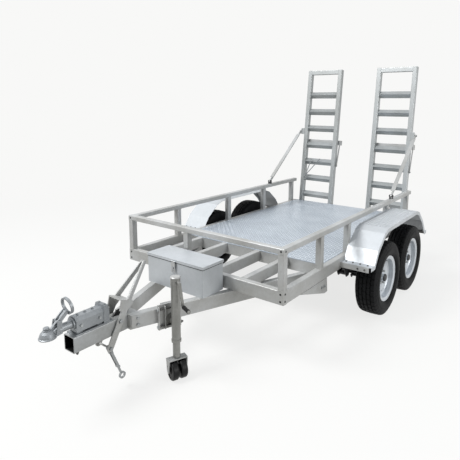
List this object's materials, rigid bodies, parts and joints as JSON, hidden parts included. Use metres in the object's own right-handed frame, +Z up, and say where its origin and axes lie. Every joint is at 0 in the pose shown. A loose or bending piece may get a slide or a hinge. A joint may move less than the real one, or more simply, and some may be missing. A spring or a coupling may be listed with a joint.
{
  "type": "plant trailer",
  "caption": "Tandem plant trailer with a tubular rail surround, drawbar toolbox, mudguards, swing-up jockey stand, overrun brake coupling and stand-up ladder ramps.",
  "frame": {"origin": "centre of the bounding box on the ground", "axes": "+X towards the side with the jockey stand, +Y from the coupling to the ramps, +Z up"},
  "size_m": [2.154, 4.2536, 2.3018],
  "materials": {
    "galvanised": "bright",
    "dark_steel": "satin",
    "rim_paint": "satin",
    "tyre": "matte",
    "cast": "satin",
    "nylon": "matte",
    "zinc_plate": "bright"
  },
  "bodies": {
    "chassis": {"side_beams": "galvanised", "front_beam": "galvanised", "rear_beam": "galvanised", "cross_members": "galvanised", "front_joists": "galvanised", "deck_plate": "galvanised", "rail_posts": "galvanised", "top_rails": "galvanised", "drawbar_rails": "galvanised", "drawbar_pole": "galvanised", "toolbox": "galvanised", "mudguards": "galvanised", "mudguard_stays": "galvanised", "side_bracket": "galvanised", "axles": "dark_steel", "leaf_springs": "dark_steel", "spring_hangers": "dark_steel", "coupling_housing": "cast", "brake_bracket": "dark_steel", "jockey_clamp": "galvanised", "ramp_hinges": "dark_steel"},
    "lid": {"toolbox_lid": "galvanised"},
    "latch": {"toolbox_latch": "galvanised"},
    "wheel_front_left": {"tyre_front_left": "tyre", "rim_front_left": "rim_paint"},
    "wheel_front_right": {"tyre_front_right": "tyre", "rim_front_right": "rim_paint"},
    "wheel_rear_left": {"tyre_rear_left": "tyre", "rim_rear_left": "rim_paint"},
    "wheel_rear_right": {"tyre_rear_right": "tyre", "rim_rear_right": "rim_paint"},
    "coupling_slide": {"coupling_head": "cast"},
    "coupling_grip": {"coupling_handle": "cast"},
    "brake_arm": {"brake_lever": "galvanised"},
    "rod_end": {"brake_rod_end": "zinc_plate"},
    "jockey_mast": {"jockey_leg": "galvanised"},
    "jockey_tube": {"jockey_inner_tube": "zinc_plate"},
    "jockey_handle": {"jockey_crank": "galvanised"},
    "jockey_caster": {"jockey_fork": "galvanised"},
    "jockey_rollers": {"jockey_wheels": "nylon"},
    "loading_ramp_left": {"ramp_left": "galvanised"},
    "prop_left": {"ramp_stand_left": "galvanised"},
    "stay_left": {"ramp_strut_left": "galvanised"},
    "loading_ramp_right": {"ramp_right": "galvanised"},
    "prop_right": {"ramp_stand_right": "galvanised"},
    "stay_right": {"ramp_strut_right": "galvanised"}
  },
  "joints": [
    {"name": "lid_hinge", "type": "hinge", "parent": "chassis", "child": "lid", "pos_m": [0, -0.89981, 0.702], "axis": [-1, 0, 0], "range_deg": [0, 84]},
    {"name": "latch_hinge", "type": "hinge", "parent": "lid", "child": "latch", "pos_m": [0, -1.12681, 0.697], "axis": [-1, 0, 0], "range_deg": [0, 80]},
    {"name": "wheel_front_left_roll", "type": "hinge", "parent": "chassis", "child": "wheel_front_left", "pos_m": [-0.9745, 0.41819, 0.328], "axis": [1, 0, 0], "continuous": true},
    {"name": "wheel_front_right_roll", "type": "hinge", "parent": "chassis", "child": "wheel_front_right", "pos_m": [0.9745, 0.41819, 0.328], "axis": [1, 0, 0], "continuous": true},
    {"name": "wheel_rear_left_roll", "type": "hinge", "parent": "chassis", "child": "wheel_rear_left", "pos_m": [-0.9745, 1.09019, 0.328], "axis": [1, 0, 0], "continuous": true},
    {"name": "wheel_rear_right_roll", "type": "hinge", "parent": "chassis", "child": "wheel_rear_right", "pos_m": [0.9745, 1.09019, 0.328], "axis": [1, 0, 0], "continuous": true},
    {"name": "overrun_slide", "type": "slide", "parent": "chassis", "child": "coupling_slide", "axis": [0, 1, 0], "range_m": [0, 0.06]},
    {"name": "coupling_release", "type": "hinge", "parent": "coupling_slide", "child": "coupling_grip", "pos_m": [0, -2.01681, 0.593], "axis": [1, 0, 0], "range_deg": [0, 45]},
    {"name": "brake_lever_swing", "type": "hinge", "parent": "chassis", "child": "brake_arm", "pos_m": [0, -1.64081, 0.462], "axis": [-1, 0, 0], "range_deg": [-30, 20]},
    {"name": "rod_end_swing", "type": "hinge", "parent": "brake_arm", "child": "rod_end", "pos_m": [0.04, -1.72181, 0.314], "axis": [1, 0, 0], "range_deg": [-40, 45]},
    {"name": "jockey_swing", "type": "hinge", "parent": "chassis", "child": "jockey_mast", "pos_m": [0.25503, -1.35111, 0.395], "axis": [0.9285, -0.3714, 0], "range_deg": [0, 90]},
    {"name": "jockey_lift", "type": "slide", "parent": "jockey_mast", "child": "jockey_tube", "axis": [0, 0, -1], "range_m": [-0.08, 0.15]},
    {"name": "crank_turn", "type": "hinge", "parent": "jockey_mast", "child": "jockey_handle", "pos_m": [0.25503, -1.35111, 0.685], "axis": [0.9285, -0.3714, 0], "continuous": true},
    {"name": "caster_swivel", "type": "hinge", "parent": "jockey_tube", "child": "jockey_caster", "pos_m": [0.25503, -1.35111, 0.146], "axis": [0, 0, 1], "continuous": true},
    {"name": "jockey_roll", "type": "hinge", "parent": "jockey_caster", "child": "jockey_rollers", "pos_m": [0.2606, -1.35334, 0.068], "axis": [0.3714, 0.9285, 0], "continuous": true},
    {"name": "ramp_left_hinge", "type": "hinge", "parent": "chassis", "child": "loading_ramp_left", "pos_m": [-0.476, 1.89919, 0.56], "axis": [-1, 0, 0], "range_deg": [0, 101]},
    {"name": "prop_left_hinge", "type": "hinge", "parent": "loading_ramp_left", "child": "prop_left", "pos_m": [-0.476, 1.98176, 1.06911], "axis": [-1, 0, 0], "range_deg": [0, 100]},
    {"name": "stay_left_hinge", "type": "hinge", "parent": "loading_ramp_left", "child": "stay_left", "pos_m": [-0.77, 1.97774, 1.50199], "axis": [1, 0, 0], "range_deg": [0, 25.5]},
    {"name": "ramp_right_hinge", "type": "hinge", "parent": "chassis", "child": "loading_ramp_right", "pos_m": [0.476, 1.89919, 0.56], "axis": [-1, 0, 0], "range_deg": [0, 101]},
    {"name": "prop_right_hinge", "type": "hinge", "parent": "loading_ramp_right", "child": "prop_right", "pos_m": [0.476, 1.98176, 1.06911], "axis": [-1, 0, 0], "range_deg": [0, 100]},
    {"name": "stay_right_hinge", "type": "hinge", "parent": "loading_ramp_right", "child": "stay_right", "pos_m": [0.77, 1.97774, 1.50199], "axis": [1, 0, 0], "range_deg": [0, 25.5]}
  ],
  "couplings": [
    {"joint": "stay_left_hinge", "follows": "ramp_left_hinge", "ratio": 0.25},
    {"joint": "stay_right_hinge", "follows": "ramp_right_hinge", "ratio": 0.25}
  ]
}
